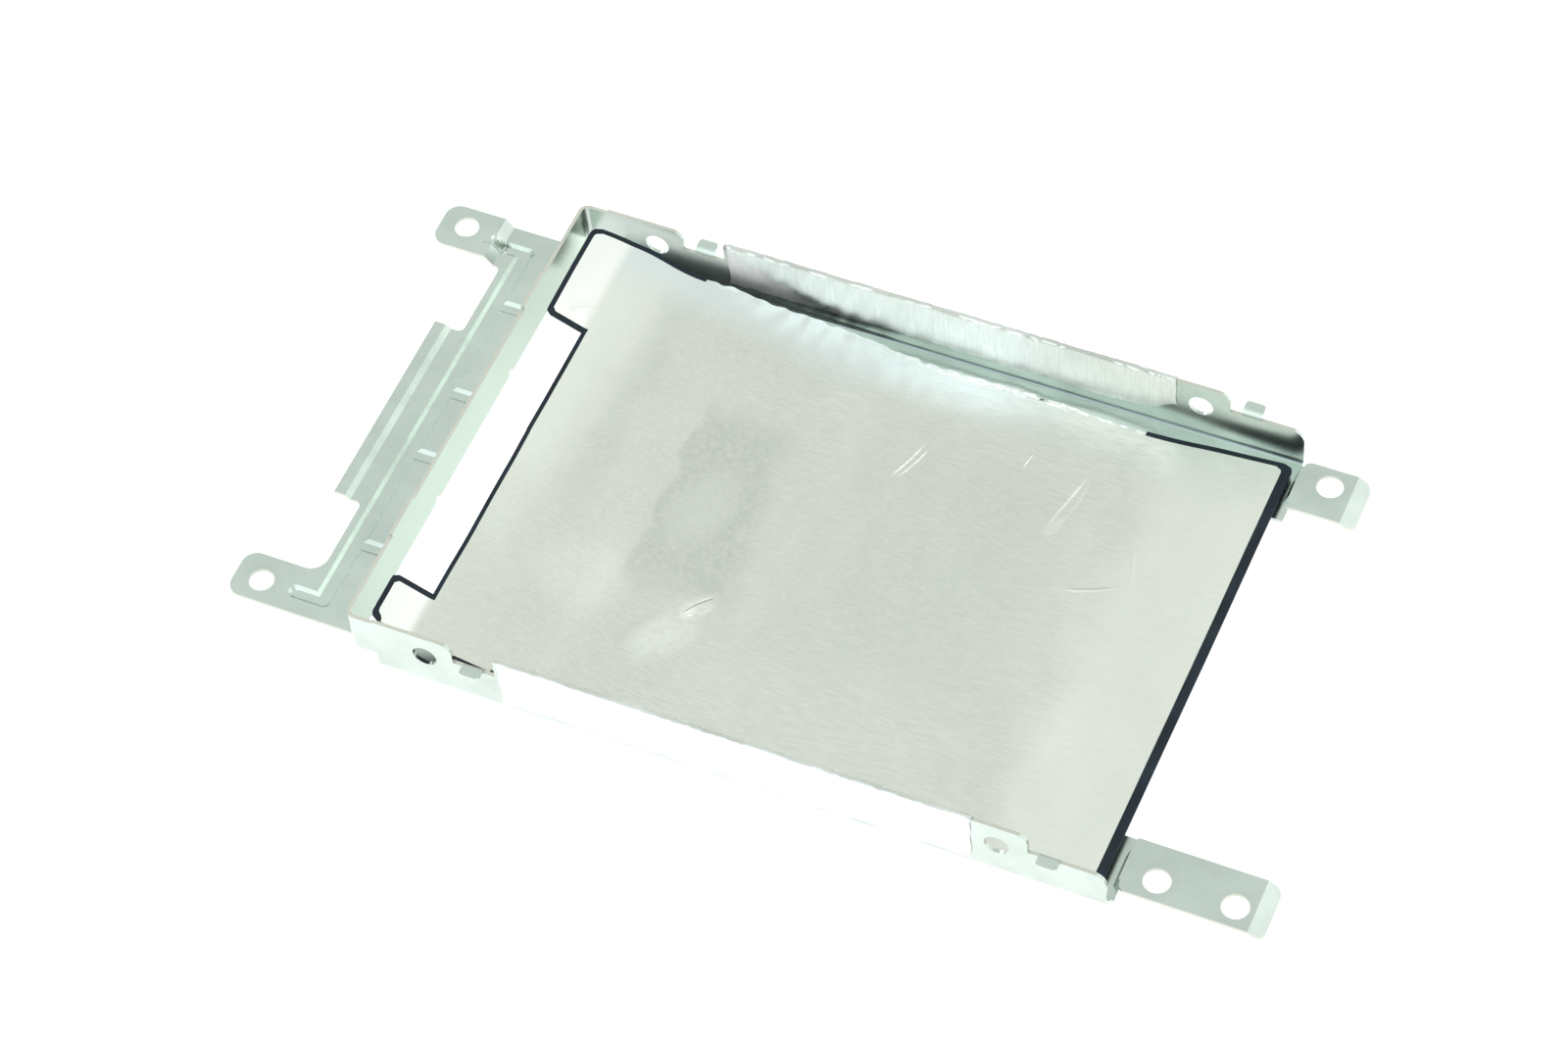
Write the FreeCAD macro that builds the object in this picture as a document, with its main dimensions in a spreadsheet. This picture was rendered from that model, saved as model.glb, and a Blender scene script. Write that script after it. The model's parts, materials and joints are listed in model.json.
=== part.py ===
"""Hard drive caddy: a folded sheet frame with an insulating film and its shield foil."""
import FreeCAD, Part
import math
import os
import Sketcher

DRIVING_SIZES = {
    "sheet_gauge": 0.5,
    "bend_inside": 0.5,
    "bay_width": 70.4,
    "wall_height": 9.8,
    "wall_start": 3.3,
    "floor_width": 4.0,
    "corner_bend": 0.8,
    "end_wall_top": 9.5,
    "end_land_rise": 0.5,
    "end_land_width": 6.2,
    "end_land_offset": 19.6,
    "screw_first": 10.35,
    "screw_pitch": 76.6,
    "screw_to_end": 14.05,
    "screw_height": 6.0,
    "screw_hole": 3.3,
    "ear_reach": 4.0,
    "ear_round": 1.7,
    "notch_height": 6.6,
    "lip_start": 5.5,
    "lip_width": 2.7,
    "lip_gap": 1.6,
    "lip_height": 7.3,
    "lip_reach": 1.6,
    "lip_round": 0.5,
    "wall_end_round": 2.0,
    "mount_height": 2.5,
    "flange_side_gap": 1.5,
    "flange_edge": 9.3,
    "mount_ear_end": 19.6,
    "mount_ear_width": 6.9,
    "mount_ear_round": 2.0,
    "mount_ear_fillet": 2.3,
    "mount_hole": 3.3,
    "mount_hole_x": 15.85,
    "mount_hole_side": 3.15,
    "far_ear_rise": 1.4,
    "far_ear_foot": 10.4,
    "far_ear_slope": 1.1,
    "bead_width": 1.2,
    "bead_run": 1.2,
    "tongue_end": 13.2,
    "tongue_half": 15.0,
    "tongue_rise": 0.6,
    "tongue_foot": 10.9,
    "tongue_slope": 0.7,
    "tongue_fillet": 0.8,
    "channel_depth": 0.4,
    "channel_slope": 0.45,
    "channel_left": 8.3,
    "channel_right": 5.9,
    "channel_stop": 2.2,
    "channel_far_gap": 2.6,
    "channel_near_gap": 2.1,
    "channel_hook": 11.9,
    "channel_run": 2.0,
    "channel_round": 0.8,
    "branch_inner": 5.35,
    "branch_outer": 20.9,
    "gusset_inner": 11.0,
    "gusset_side": 4.5,
    "gusset_width": 2.0,
    "gusset_leg": 1.1,
    "slot_left": 3.6,
    "slot_width": 2.0,
    "slot_side": 4.5,
    "slot_length": 4.0,
    "neck_run": 0.7,
    "neck_inset": 1.8,
    "tab_side_gap": 1.0,
    "tab_width": 7.7,
    "tab_round": 1.0,
    "tab_end_round": 1.2,
    "tab_hole": 3.5,
    "tab_hole_out": 4.85,
    "tab_hole_side": 2.8,
    "tab_hole_pitch": 9.95,
    "near_tab_reach": 19.2,
    "far_tab_reach": 9.7,
    "tab_lip": 1.9,
    "tab_lip_drop": 1.1,
    "neck_width": 4.5,
    "foot_length": 5.0,
    "foot_reach": 0.6,
    "foot_margin": 0.9,
    "film_gauge": 0.2,
    "foil_gauge": 0.1,
    "film_start": 2.25,
    "film_end_gap": 0.9,
    "film_far_gap": 1.8,
    "film_near_gap": 0.8,
    "film_round": 1.3,
    "film_border": 0.8,
    "film_border_left": 0.6,
    "film_border_notch": 0.5,
    "film_border_end": 1.3,
    "film_tuck": 0.4,
    "film_tuck_start": 18.9,
    "film_tuck_margin": 19.5,
    "film_notch_x": 7.8,
    "film_notch_near_gap": 7.0,
    "film_notch_far_gap": 16.5,
    "film_notch_round": 0.5,
    "film_lift": 6.9,
    "film_fold_high": 14.2,
    "film_fold_low": 34.5,
    "film_bend": 62.0,
    "wrap_start_gap": 0.65,
    "wrap_end_gap": 3.35,
    "wrap_inside": 7.4,
    "wrap_low": 1.2,
}

CLEAR = 5.0
ROLES = {"XY": "XY_Plane", "XZ": "XZ_Plane", "YZ": "YZ_Plane"}


class Size:
    """A dimension: its expression for the sheet and its value in millimetres."""

    def __init__(self, text, value):
        self.text = text
        self.value = value

    def _join(self, other, sign, value):
        return Size(f"({self.text} {sign} {as_size(other).text})", value)

    def __add__(self, other):
        return self._join(other, "+", self.value + as_size(other).value)

    def __sub__(self, other):
        return self._join(other, "-", self.value - as_size(other).value)

    def __mul__(self, other):
        return self._join(other, "*", self.value * as_size(other).value)

    def __truediv__(self, other):
        return self._join(other, "/", self.value / as_size(other).value)

    def __neg__(self):
        return Size(f"(0 - {self.text})", -self.value)


def as_size(number):
    """Returns a Size for a Size or a plain number."""
    if isinstance(number, Size):
        return number
    return Size(f"{number:.9g}" if number >= 0 else f"(0 - {-number:.9g})", float(number))


def make_sheet(doc):
    """Writes the driving dimensions to a sheet and returns them by name."""
    sheet = doc.addObject("Spreadsheet::Sheet", "Sizes")
    for row, (alias, value) in enumerate(DRIVING_SIZES.items(), start=1):
        sheet.set(f"A{row}", alias)
        sheet.set(f"B{row}", str(value))
        sheet.setAlias(f"B{row}", alias)
    doc.recompute()
    return {alias: Size(f"Sizes.{alias}", value) for alias, value in DRIVING_SIZES.items()}


doc = FreeCAD.newDocument("hard_drive_caddy")
size = make_sheet(doc)
gauge = size["sheet_gauge"]
bend = size["bend_inside"]
outer_bend = bend + gauge
half = size["bay_width"] / 2
plate_low = size["mount_height"] - gauge
second_screw = size["screw_first"] + size["screw_pitch"]
bay_length = second_screw + size["screw_to_end"]
flange_half = half - size["flange_side_gap"]
ear_inner = flange_half - size["mount_ear_width"]
tab_outer = half - size["tab_side_gap"]
tab_inner = tab_outer - size["tab_width"]
film_far = half - size["film_far_gap"]
film_near = half - size["film_near_gap"]
film_end = bay_length - size["film_end_gap"]
notch_end = size["lip_start"] + size["lip_width"] + size["lip_gap"]


def make_body(label):
    """Adds a body whose place puts the middle of the outline over the origin."""
    body = doc.addObject("PartDesign::Body", label)
    body.Label = label
    middle = (bay_length + size["near_tab_reach"] - size["mount_ear_end"]) / 2
    body.setExpression("Placement.Base.x", (-middle).text)
    return body


def rounded(corners):
    """Turns corners into runs: the ends of each corner, with its radius and centre if it is round."""
    count = len(corners)
    runs = []
    for index, corner in enumerate(corners):
        x, y = as_size(corner[0]), as_size(corner[1])
        if len(corner) == 2:
            runs.append(([(x, y)], None, None))
            continue
        radius = as_size(corner[2])
        before = corners[index - 1]
        after = corners[(index + 1) % count]
        ways = []
        for other in (before, after):
            dx = as_size(other[0]).value - x.value
            dy = as_size(other[1]).value - y.value
            length = math.hypot(dx, dy)
            ways.append((dx / length, dy / length))
        cosine = ways[0][0] * ways[1][0] + ways[0][1] * ways[1][1]
        reach = radius / math.tan(math.acos(cosine) / 2)
        ends = [(x + reach * way[0], y + reach * way[1]) for way in ways]
        inward = (ways[0][0] + ways[1][0], ways[0][1] + ways[1][1])
        scale = radius.value / math.sin(math.acos(cosine) / 2) / math.hypot(*inward)
        centre = (x.value + inward[0] * scale, y.value + inward[1] * scale)
        runs.append((ends, radius, centre))
    return runs


def bind_point(sketch, geometry, end, point):
    """Ties one end of a sketch element to its two sizes."""
    for kind, measure in (("DistanceX", point[0]), ("DistanceY", point[1])):
        row = sketch.addConstraint(Sketcher.Constraint(kind, -1, 1, geometry, end, measure.value))
        sketch.setExpression(f"Constraints[{row}]", measure.text)


def draw_arc(sketch, ends, radius, centre):
    """Draws one rounded corner between its two ends."""
    start = FreeCAD.Vector(ends[0][0].value, ends[0][1].value, 0)
    stop = FreeCAD.Vector(ends[1][0].value, ends[1][1].value, 0)
    middle = FreeCAD.Vector(*centre, 0)
    crown = middle + ((start + stop) / 2 - middle).normalize() * radius.value
    arc = sketch.addGeometry(Part.Arc(start, crown, stop), False)
    turn = (start - middle).cross(stop - middle).z
    first, last = (1, 2) if turn > 0 else (2, 1)
    bind_point(sketch, arc, first, ends[0])
    bind_point(sketch, arc, last, ends[1])
    row = sketch.addConstraint(Sketcher.Constraint("Radius", arc, radius.value))
    sketch.setExpression(f"Constraints[{row}]", radius.text)


def draw_line(sketch, start, stop):
    """Draws one straight run between two points."""
    ends = [FreeCAD.Vector(x.value, y.value, 0) for x, y in (start, stop)]
    line = sketch.addGeometry(Part.LineSegment(*ends), False)
    bind_point(sketch, line, 1, start)
    bind_point(sketch, line, 2, stop)


def draw_loop(sketch, corners):
    """Draws one closed outline with straight runs and rounded corners."""
    runs = rounded(corners)
    for index, (ends, radius, centre) in enumerate(runs):
        if radius is not None:
            draw_arc(sketch, ends, radius, centre)
        following = runs[(index + 1) % len(runs)][0]
        draw_line(sketch, ends[-1], following[0])


def make_sketch(body, name, plane, offset, loops):
    """Makes a sketch of closed outlines on an origin plane, moved along the plane's normal."""
    sketch = body.newObject("Sketcher::SketchObject", name)
    role = ROLES[plane]
    base = next(item for item in body.Origin.OriginFeatures if item.Role == role)
    sketch.AttachmentSupport = [(base, "")]
    sketch.MapMode = "FlatFace"
    sketch.setExpression("AttachmentOffset.Base.z", as_size(offset).text)
    for loop in loops:
        if len(loop) == 3 and not isinstance(loop[0], tuple):
            draw_circle(sketch, *loop)
        else:
            draw_loop(sketch, loop)
    return sketch


def draw_circle(sketch, x, y, diameter):
    """Draws one circle bound to its centre and diameter."""
    centre = FreeCAD.Vector(x.value, y.value, 0)
    circle = sketch.addGeometry(Part.Circle(centre, FreeCAD.Vector(0, 0, 1), diameter.value / 2), False)
    bind_point(sketch, circle, 3, (x, y))
    row = sketch.addConstraint(Sketcher.Constraint("Diameter", circle, diameter.value))
    sketch.setExpression(f"Constraints[{row}]", diameter.text)


def pad(body, name, plane, offset, length, loops, symmetric=False):
    """Pads outlines by a length along the plane's normal, or half of it to each side."""
    feature = body.newObject("PartDesign::Pad", name)
    feature.Profile = make_sketch(body, f"{name}_outline", plane, offset, loops)
    feature.setExpression("Length", as_size(length).text)
    if symmetric:
        feature.SideType = "Symmetric"
    doc.recompute()
    return feature


def pocket(body, name, plane, loops, reach, offset=0):
    """Cuts outlines to both sides of a plane and checks that metal went."""
    before = body.Shape.Volume
    feature = body.newObject("PartDesign::Pocket", name)
    feature.Profile = make_sketch(body, f"{name}_outline", plane, offset, loops)
    feature.SideType = "Symmetric"
    feature.setExpression("Length", as_size(reach).text)
    doc.recompute()
    if body.Shape.Volume >= before:
        raise RuntimeError(f"{name} cut nothing")
    return feature


def loft(body, kind, name, stages):
    """Lofts between outlines at two heights, adding or cutting as the kind says."""
    feature = body.newObject(f"PartDesign::{kind}", name)
    sketches = []
    for step, (height, loop) in enumerate(stages):
        sketches.append(make_sketch(body, f"{name}_stage_{step}", "XY", height, [loop]))
    feature.Profile = sketches[0]
    feature.Sections = sketches[1:]
    feature.Ruled = True
    doc.recompute()
    return feature


def mirrored(loop):
    """Returns the outline mirrored across the sheet's first axis."""
    return [(-as_size(corner[0]), *corner[1:]) for corner in loop][::-1]


def add_band(body):
    """End wall and its two rounded corners, as one upright band."""
    low = size["mount_height"] + bend
    legs = size["wall_start"] + bend
    inside = size["corner_bend"]
    outside = inside + gauge
    out = half + gauge
    loop = [
        (legs, -out), (-gauge, -out, outside), (-gauge, out, outside), (legs, out),
        (legs, half), (0, half, inside), (0, -half, inside), (legs, -half),
    ]
    pad(body, "end_band", "XY", low, size["end_wall_top"] - low, [loop])
    lands = []
    for middle in (size["end_land_offset"], -size["end_land_offset"]):
        near = middle - size["end_land_width"] / 2
        far = middle + size["end_land_width"] / 2
        lands.append([(-gauge, near), (0, near), (0, far), (-gauge, far)])
    pad(body, "end_lands", "XY", low, size["end_wall_top"] + size["end_land_rise"] - low, lands)


def add_side_walls(body):
    """Side walls with their floor flanges, then the ears and notches along their tops."""
    top = size["wall_height"]
    edge = half - size["floor_width"]
    far = [
        (half, top), (half, gauge, bend), (edge, gauge), (edge, 0),
        (half + gauge, 0, outer_bend), (half + gauge, top),
    ]
    length = bay_length - size["wall_start"]
    pad(body, "side_walls", "YZ", size["wall_start"], length, [far, mirrored(far)])
    over = top + CLEAR
    notch = size["notch_height"]
    loops = []
    for hole in (size["screw_first"], second_screw):
        ear = hole + size["ear_reach"]
        shoulder = ear - size["ear_round"]
        loop = [(shoulder - gauge, over), (shoulder - gauge, top), (ear, top, size["ear_round"]), (ear, notch)]
        if hole is second_screw:
            drop = notch - size["wall_end_round"] * 2
            past = bay_length + CLEAR
            loop += [(bay_length, notch, size["wall_end_round"]), (bay_length, drop), (past, drop), (past, over)]
        else:
            stop = hole + notch_end
            loop += [(stop, notch), (stop, over)]
        loops.append(loop)
    reach = size["bay_width"] + gauge * 4
    pocket(body, "wall_tops", "XZ", loops, reach)


def corner_cut(x, y, way_x, way_y, radius):
    """Plan of the metal outside a rounded corner that points along the two ways."""
    reach = radius * 2
    past = gauge
    return [
        (x - reach * way_x, y + past * way_y), (x - reach * way_x, y), (x, y, radius), (x, y - reach * way_y),
        (x + past * way_x, y - reach * way_y), (x + past * way_x, y + past * way_y),
    ]


def add_lips(body):
    """Small lips bent outward at the tops of the side walls, one beside each screw hole."""
    low = size["notch_height"] - bend * 2
    top = size["lip_height"]
    tip = half + gauge + size["lip_reach"]
    far = [
        (half, low), (half + gauge, low), (half + gauge, top - gauge, bend),
        (tip, top - gauge), (tip, top), (half, top, outer_bend),
    ]
    for name, hole in (("lips_left", 0), ("lips_right", size["screw_pitch"])):
        start = size["screw_first"] + size["lip_start"] + hole
        pad(body, name, "YZ", start, size["lip_width"], [far, mirrored(far)])
        stop = start + size["lip_width"]
        loops = [corner_cut(start, tip, -1, 1, size["lip_round"]), corner_cut(stop, tip, 1, 1, size["lip_round"])]
        loops += [corner_cut(start, -tip, -1, -1, size["lip_round"]), corner_cut(stop, -tip, 1, -1, size["lip_round"])]
        pocket(body, f"{name}_rounds", "XY", loops, top * 4)


def add_flange(body):
    """Ear flange bent out of the end wall's lower edge, with its raised tongue and raised far ear."""
    high = size["mount_height"]
    width = flange_half
    wall_low = high + bend * 2
    root = -outer_bend
    bend_loop = [
        (0, wall_low), (0, plate_low, outer_bend), (root - bend, plate_low), (root - bend, high),
        (-gauge, high, bend), (-gauge, wall_low),
    ]
    pad(body, "flange_bend", "XZ", 0, width * 2, [bend_loop], symmetric=True)
    end = -size["mount_ear_end"]
    edge = -size["flange_edge"]
    inner = ear_inner
    tongue = size["tongue_half"]
    tongue_foot = -size["tongue_foot"]
    far_foot = -size["far_ear_foot"]
    fillet = size["tongue_fillet"]
    outline = [
        (root, -width), (end, -width, size["mount_ear_round"]), (end, -inner, size["mount_ear_round"]),
        (edge, -inner, size["mount_ear_fillet"]), (edge, -tongue, fillet), (tongue_foot, -tongue),
        (tongue_foot, tongue), (edge, tongue, fillet), (edge, inner, fillet),
        (far_foot, inner), (far_foot, width), (root, width),
    ]
    pad(body, "flange_plate", "XY", plate_low, gauge, [outline])
    add_jog(body, "tongue", tongue_foot, size["tongue_slope"], size["tongue_rise"], -tongue, tongue)
    lift = size["tongue_rise"]
    crest = tongue_foot - size["tongue_slope"]
    strip = [(crest, -tongue), (-size["tongue_end"], -tongue), (-size["tongue_end"], tongue), (crest, tongue)]
    pad(body, "tongue_strip", "XY", plate_low + lift, gauge, [strip])
    add_jog(body, "far_ear", far_foot, size["far_ear_slope"], size["far_ear_rise"], inner, width)
    crest = far_foot - size["far_ear_slope"]
    ear = [
        (crest, inner), (end, inner, size["mount_ear_round"]), (end, width, size["mount_ear_round"]),
        (crest, width),
    ]
    pad(body, "far_ear_plate", "XY", plate_low + size["far_ear_rise"], gauge, [ear])
    holes = []
    for side in (-1, 1):
        across = (flange_half - size["mount_hole_side"]) * side
        holes.append((-size["mount_hole_x"], across, size["mount_hole"]))
    pocket(body, "ear_holes", "XY", holes, size["wall_height"] * 2)


def channel_outline(inset):
    """Plan of the pressed channel: a long run with arms to both ears and branches to the end wall."""
    left = inset - size["channel_left"]
    right = -size["channel_right"] - inset
    stop = -size["channel_stop"] - inset
    arm = inset - size["far_ear_foot"] + gauge
    hook = inset - size["channel_hook"]
    far = flange_half - size["channel_far_gap"] - inset
    near = inset + size["channel_near_gap"] - flange_half
    far_low = far - size["channel_run"] + inset * 2
    near_high = near + size["channel_run"] - inset * 2
    side = size["channel_run"] / 2 - inset
    turn = size["channel_round"]
    loop = [(hook, near, turn), (right, near, turn)]
    for middle in (-size["branch_outer"], -size["branch_inner"], size["branch_inner"], size["branch_outer"]):
        low = middle - side
        high = middle + side
        loop += [(right, low), (stop, low), (stop, high), (right, high)]
    loop += [(right, far, turn), (arm, far), (arm, far_low), (left, far_low)]
    loop += [(left, near_high), (hook, near_high, turn)]
    return loop


def add_channel(body):
    """Channel pressed down into the flange: its back below, then its sloped recess above."""
    high = size["mount_height"]
    depth = size["channel_depth"]
    whole = channel_outline(as_size(0))
    floor = channel_outline(size["channel_slope"])
    loft(body, "AdditiveLoft", "channel_back", [(plate_low, whole), (plate_low - depth, floor)])
    loft(body, "SubtractiveLoft", "channel_recess", [(high, whole), (high - depth, floor)])


def add_bead(body):
    """Short bead pressed across the far ear's step, in line with the channel's arm."""
    high = size["mount_height"]
    rise = size["far_ear_rise"]
    depth = size["channel_depth"]
    foot = -size["far_ear_foot"]
    crest = foot - size["far_ear_slope"]
    nose = crest - size["bead_run"]
    root = foot + gauge + size["channel_slope"]
    width = size["bead_width"]
    middle = flange_half - size["channel_far_gap"] - size["channel_run"] / 2
    back = [
        (root, plate_low), (root, plate_low - depth), (foot, plate_low - depth),
        (nose, plate_low + rise), (crest, plate_low + rise), (foot, plate_low),
    ]
    wide = width + gauge
    pad(body, "bead_back", "XZ", -middle - wide / 2, wide, [back])
    over = high + rise + CLEAR
    groove = [(root, high - depth), (foot, high - depth), (nose, high + rise), (nose, over), (root, over)]
    pocket(body, "bead_groove", "XZ", [groove], width, -middle)


def add_gussets(body):
    """Small ribs pressed across the bend below the end wall, and the relief slot beside it."""
    high = size["mount_height"]
    leg = size["gusset_leg"]
    width = size["gusset_width"]
    rib = [
        (-gauge, high), (-gauge, high + bend + leg), (-gauge - bend - leg, high),
    ]
    dent = [
        (bend, plate_low - bend), (bend, plate_low + bend + leg), (0, plate_low + bend + leg),
        (-bend - leg, plate_low), (-bend - leg, plate_low - bend),
    ]
    outermost = flange_half - size["gusset_side"]
    places = (-outermost, -size["gusset_inner"], size["gusset_inner"], outermost)
    for number, middle in enumerate(places, start=1):
        pad(body, f"gusset_rib_{number}", "XZ", -middle - width / 2, width, [rib])
        pocket(body, f"gusset_dent_{number}", "XZ", [dent], width - gauge, -middle)
    left = -size["slot_left"]
    right = left + size["slot_width"]
    near = size["slot_side"] - flange_half
    far = near + size["slot_length"]
    slot = [(left, near), (right, near), (right, far), (left, far)]
    pocket(body, "relief_slot", "XY", [slot], high * 2)


def add_jog(body, name, foot, slope, rise, near, far):
    """Sloped step of sheet that joins two plates at different heights."""
    high = size["mount_height"]
    crest = foot - slope
    loop = [
        (foot + gauge, plate_low), (foot + gauge, high), (foot, high), (crest, high + rise),
        (crest - gauge, high + rise), (crest - gauge, plate_low + rise), (crest, plate_low + rise),
        (foot, plate_low),
    ]
    pad(body, f"{name}_jog", "XZ", -as_size(far), far - near, [loop])


def add_end_tab(body, name, side, reach):
    """Mounting tab on a stepped neck at the open end, with its free end turned down."""
    high = size["mount_height"]
    low_end = bay_length
    start = low_end + size["neck_run"]
    stop = low_end + reach
    lip_root = stop - size["tab_lip"]
    foot_start = low_end - size["foot_length"]

    def across(near, far):
        """Orders two distances from the middle for this side."""
        return (near, far) if side > 0 else (-far, -near)

    near, far = across(tab_inner - size["foot_margin"], half - bend)
    foot_end = low_end + size["foot_reach"]
    foot = [(foot_start, near), (foot_end, near), (foot_end, far), (foot_start, far)]
    pad(body, f"{name}_foot", "XY", 0, gauge, [foot])
    neck_start = tab_inner + size["neck_inset"]
    near, far = across(neck_start, neck_start + size["neck_width"])
    lean = gauge / 2
    neck = [
        (low_end - gauge, 0), (low_end, 0), (start, plate_low), (start + gauge, plate_low),
        (start + gauge, high), (start - lean, high), (low_end - lean, gauge), (low_end - gauge, gauge),
    ]
    pad(body, f"{name}_neck", "XZ", -far, far - near, [neck])
    near, far = across(tab_inner, tab_outer)
    plate = [(start, near), (lip_root, near), (lip_root, far), (start, far)]
    free_corner = 3 if side > 0 else 0
    plate[free_corner] = (*plate[free_corner], size["tab_round"])
    pad(body, f"{name}_plate", "XY", plate_low, gauge, [plate])
    drop = size["tab_lip_drop"]
    lip = [
        (lip_root - gauge, plate_low), (lip_root, plate_low), (stop, plate_low - drop),
        (stop, high - drop), (lip_root, high), (lip_root - gauge, high),
    ]
    pad(body, f"{name}_lip", "XZ", -far, far - near, [lip])
    turn = size["tab_end_round"]
    loops = [corner_cut(stop, far, 1, 1, turn), corner_cut(stop, near, 1, -1, turn)]
    pocket(body, f"{name}_rounds", "XY", loops, high * 4)


def add_holes(body):
    """Screw holes through both side walls, and the holes of the end tabs."""
    rows = []
    for spot in (size["screw_first"], second_screw):
        rows.append((spot, size["screw_height"], size["screw_hole"]))
    pocket(body, "screw_holes", "XZ", rows, size["bay_width"] + gauge * 4)
    spot = bay_length + size["tab_hole_out"]
    across = tab_outer - size["tab_hole_side"]
    tabs = [(spot, across, size["tab_hole"]), (spot, -across, size["tab_hole"])]
    tabs.append((spot + size["tab_hole_pitch"], -across, size["tab_hole"]))
    pocket(body, "tab_holes", "XY", tabs, size["wall_height"] * 2)


def make_frame():
    """The folded sheet frame."""
    body = make_body("caddy_frame")
    add_band(body)
    add_side_walls(body)
    add_flange(body)
    add_channel(body)
    add_bead(body)
    add_gussets(body)
    add_end_tab(body, "near_tab", -1, size["near_tab_reach"])
    add_end_tab(body, "far_tab", 1, size["far_tab_reach"])
    add_lips(body)
    add_holes(body)
    return body


def layer_outline(trim):
    """Plan of the film, or with a trim of 1 that of the foil, which leaves a border except along the tucked edges."""
    border = size["film_border"] * trim
    near = border - film_near
    far = film_far - border
    near_tuck = size["film_tuck"] - film_near
    far_tuck = film_far - size["film_tuck"]
    left = size["film_tuck_start"]
    right = film_end - size["film_tuck_margin"]
    start = size["film_start"] + size["film_border_left"] * trim
    stop = film_end - size["film_border_end"] * trim
    notch = size["film_notch_x"] + size["film_border_notch"] * trim
    notch_near = size["film_notch_near_gap"] - film_near - border
    notch_far = film_far - size["film_notch_far_gap"] + border
    turn = size["film_round"] - border / 2
    tip = size["film_notch_round"]
    return [
        (start, near, turn), (left, near), (left, near_tuck), (right, near_tuck), (right, near),
        (stop, near, turn), (stop, far, turn), (right, far), (right, far_tuck),
        (left, far_tuck), (left, far), (start, far, turn), (start, notch_far, tip), (notch, notch_far),
        (notch, notch_near), (start, notch_near, tip),
    ]


def layer_path(rise):
    """Side view of a layer's lower face: flat on the flanges, then an easy rise to the end wall."""
    low = gauge + rise
    high = low + size["film_lift"]
    bow = size["film_bend"]
    return [
        (-as_size(CLEAR), high), (size["film_fold_high"], high, bow), (size["film_fold_low"], low, bow),
        (film_end + CLEAR, low),
    ]


def make_layer(label, trim, rise, thickness):
    """A thin layer cut from its plan between two side views."""
    body = make_body(label)
    plan = layer_outline(trim)
    deep = gauge + size["film_lift"] + CLEAR
    pad(body, f"{label}_plan", "XY", 0, deep, [plan])
    left = -as_size(CLEAR)
    right = film_end + CLEAR
    below = layer_path(rise) + [(right, -as_size(CLEAR)), (left, -as_size(CLEAR))]
    above = layer_path(rise + thickness) + [(right, deep + CLEAR), (left, deep + CLEAR)]
    pocket(body, f"{label}_bow", "XZ", [below, above], size["bay_width"] * 2)
    return body


def make_wall_foil(label, side):
    """Foil strip folded over the middle of one side wall."""
    body = make_body(label)
    skin = size["foil_gauge"]
    top = size["wall_height"]
    low = size["wrap_low"]
    inside = top - size["wrap_inside"]
    loop = [
        (half, inside), (half, top), (half + gauge, top), (half + gauge, low),
        (half + gauge + skin, low), (half + gauge + skin, top + skin), (half - skin, top + skin),
        (half - skin, inside),
    ]
    if side < 0:
        loop = mirrored(loop)
    start = size["screw_first"] + notch_end + size["wrap_start_gap"]
    stop = second_screw - size["wrap_end_gap"]
    pad(body, f"{label}_strip", "YZ", start, stop - start, [loop])
    return body


def check_and_export(bodies):
    """Stops on any failed object or bad solid, then writes each sub-part."""
    for item in doc.Objects:
        if "Invalid" in item.State or "Error" in item.State:
            raise RuntimeError(f"{item.Label} failed: {item.State}")
    os.makedirs("parts", exist_ok=True)
    for body in bodies:
        shape = body.Shape
        if shape.isNull() or not shape.isValid() or len(shape.Solids) != 1:
            raise RuntimeError(f"{body.Label} has {len(shape.Solids)} solids, valid: {shape.isValid()}")
        shape.exportStep(f"parts/{body.Label}.step")
        box = shape.BoundBox
        print(f"{body.Label}: {shape.Volume:.1f} mm3, box {box}")


film_gauge = size["film_gauge"]
foil_gauge = size["foil_gauge"]
sub_parts = [
    make_frame(),
    make_layer("insulator_film", 0, as_size(0), film_gauge),
    make_layer("shield_foil", 1, film_gauge, foil_gauge),
    make_wall_foil("wall_foil_near", -1),
    make_wall_foil("wall_foil_far", 1),
]
doc.recompute()
check_and_export(sub_parts)
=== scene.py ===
"""Looks of a hard drive caddy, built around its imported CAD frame.

The folded steel frame stays as the CAD solid and gets its metal. The liner film, the foil on it and the two
foil strips over the side walls are new surfaces that lie where their CAD solids are. One small patch rounds the
bead on the raised ear. Sizes are in millimetres.
"""
from __future__ import annotations

import json
import logging
import math
from dataclasses import dataclass
from enum import Enum
from typing import Any, Sequence, TypeVar

import bpy
import numpy as np
from mathutils import Matrix, Vector

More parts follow.
